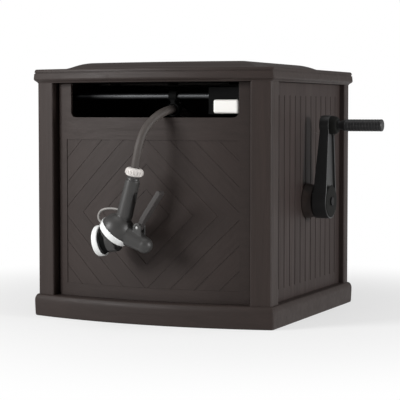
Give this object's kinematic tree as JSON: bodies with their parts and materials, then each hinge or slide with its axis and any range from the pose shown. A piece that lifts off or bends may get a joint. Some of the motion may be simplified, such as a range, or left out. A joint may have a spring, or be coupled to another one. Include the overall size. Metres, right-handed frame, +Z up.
{
  "type": "hose reel box",
  "caption": "Bow-fronted plastic garden box with a lift-up lid that hides a crank-wound hose reel; the hose leaves through a slot under the lid to a pistol nozzle.",
  "frame": {"origin": "on the floor, under the middle of the box", "axes": "+X towards the crank, +Y towards the back, +Z up"},
  "size_m": [0.717, 0.628, 0.545],
  "materials": {
    "brown_shell": "satin moulded resin with a fine wood grain",
    "brown_panel": "satin moulded resin with a fine wood grain",
    "black_plastic": "satin moulded nylon",
    "white_plastic": "smooth acetal",
    "pale_plastic": "glossy pale grey",
    "nozzle_grey": "soft-touch dark grey",
    "hose": "smooth vinyl hose, grey brown",
    "rubber": "smooth",
    "brass": "turned",
    "steel": "zinc plated",
    "bright_steel": "plated rod"
  },
  "bodies": {
    "box": {"base_tray": "brown_shell", "front_panel": "brown_panel", "back_panel": "brown_panel", "left_panel": "brown_panel", "right_panel": "brown_panel", "front_left_post": "brown_shell", "front_right_post": "brown_shell", "back_left_post": "brown_shell", "back_right_post": "brown_shell", "left_bearing": "black_plastic", "right_bearing": "black_plastic", "bearing_cap": "brown_panel", "water_inlet": "brass", "inlet_seal": "rubber", "inlet_screws": "steel", "guide_rod": "bright_steel", "left_rod_bracket": "black_plastic", "right_rod_bracket": "black_plastic", "guide_stop": "white_plastic", "hinge_brackets": "black_plastic", "hinge_screws": "steel", "hinge_pins": "steel"},
    "lid": {"lid_shell": "brown_shell", "lid_liner": "brown_panel", "lid_hinge_leaves": "black_plastic"},
    "reel": {"drum": "black_plastic", "left_flange": "black_plastic", "right_flange": "black_plastic", "water_spigot": "black_plastic", "crank_axle": "black_plastic", "outlet_elbow": "brass", "hose_core": "hose", "hose_winding": "hose", "crank_hub": "black_plastic", "crank_arm": "black_plastic", "crank_screw": "steel", "grip_spindle": "steel"},
    "grip": {"crank_grip": "black_plastic", "grip_cap": "black_plastic"},
    "guide": {"guide_carriage": "black_plastic", "guide_eyelet": "black_plastic", "hose_run": "hose", "hose_coupling": "pale_plastic", "coupling_insert": "black_plastic", "nozzle_body": "nozzle_grey", "nozzle_collar": "pale_plastic", "trigger_pin": "steel"},
    "trigger": {"nozzle_trigger": "nozzle_grey"},
    "dial": {"spray_dial": "black_plastic", "dial_bezel": "pale_plastic"}
  },
  "joints": [
    {"name": "lid_hinge", "type": "hinge", "parent": "box", "child": "lid", "pos_m": [0, 0.257, 0.499], "axis": [-1, 0, 0], "range_deg": [0, 100]},
    {"name": "reel_spin", "type": "hinge", "parent": "box", "child": "reel", "pos_m": [0, 0, 0.248], "axis": [1, 0, 0], "continuous": true},
    {"name": "grip_spin", "type": "hinge", "parent": "reel", "child": "grip", "pos_m": [0.37, 0, 0.411], "axis": [1, 0, 0], "continuous": true},
    {"name": "guide_slide", "type": "slide", "parent": "box", "child": "guide", "axis": [1, 0, 0], "range_m": [-0.2, 0.065]},
    {"name": "trigger_squeeze", "type": "hinge", "parent": "guide", "child": "trigger", "pos_m": [0.01525, -0.326, 0.20599], "axis": [0, -1, 0], "range_deg": [0, 14], "stiffness_Nm_per_rad": 1.5, "springref_deg": -5.73},
    {"name": "dial_turn", "type": "hinge", "parent": "guide", "child": "dial", "pos_m": [-0.03475, -0.326, 0.18099], "axis": [-0.9903, 0, -0.1392], "continuous": true}
  ]
}
